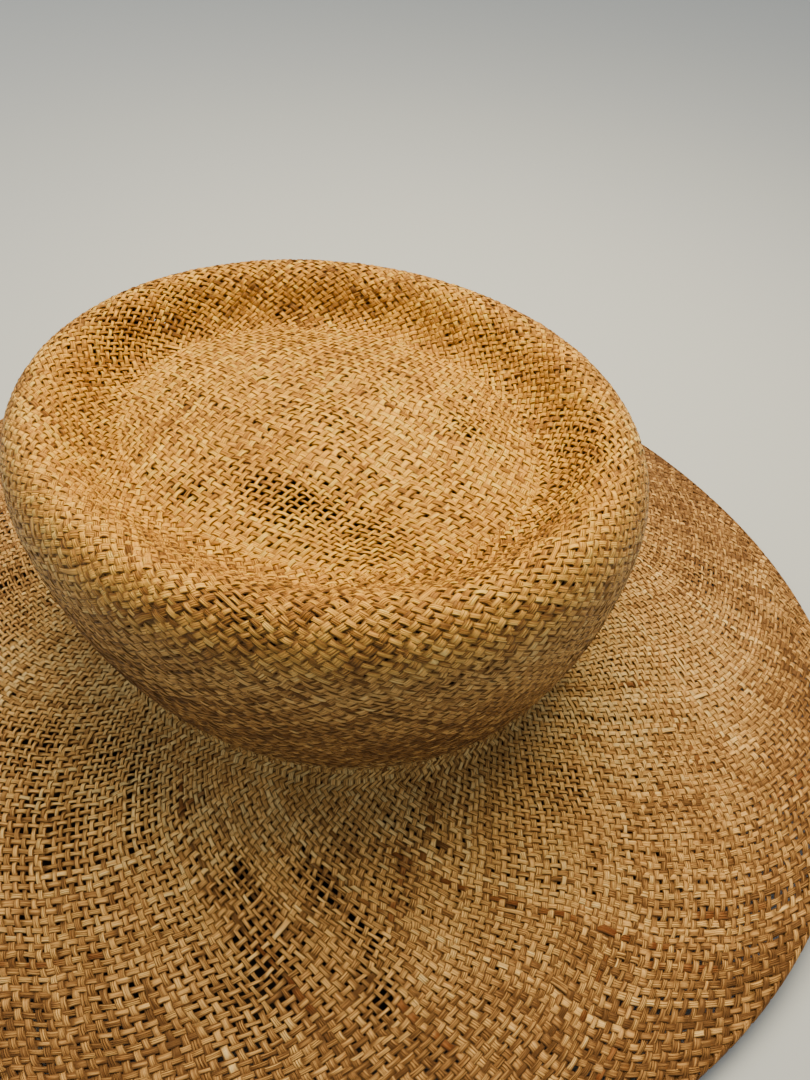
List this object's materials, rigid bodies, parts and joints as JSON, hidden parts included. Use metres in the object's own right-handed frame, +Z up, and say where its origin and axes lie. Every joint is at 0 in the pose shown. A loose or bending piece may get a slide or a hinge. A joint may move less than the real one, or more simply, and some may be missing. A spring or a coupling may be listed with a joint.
{
  "type": "straw sun hat",
  "caption": "Hand-plaited straw sun hat with an oval, flared crown, a dished top inside a rolled rim, and a wide, gently waved brim.",
  "frame": {"origin": "on the surface that the hat rests on, under the middle of the crown", "axes": "+X towards the front of the head, along the hat's longer way; +Y to the wearer's left; +Z up through the crown"},
  "size_m": [0.419, 0.397, 0.12],
  "materials": {
    "straw": "satin plaited straw",
    "ribbon": "matte ribbed cotton",
    "thread": "matte cotton thread"
  },
  "bodies": {
    "root": {"crown_tip": "straw", "dish_slope": "straw", "crown_rim": "straw", "crown_wall": "straw", "brim": "straw", "brim_edge": "straw", "sweatband": "ribbon", "sweatband_join": "ribbon", "sweatband_stitches": "thread", "join_stitches": "thread"}
  },
  "joints": []
}
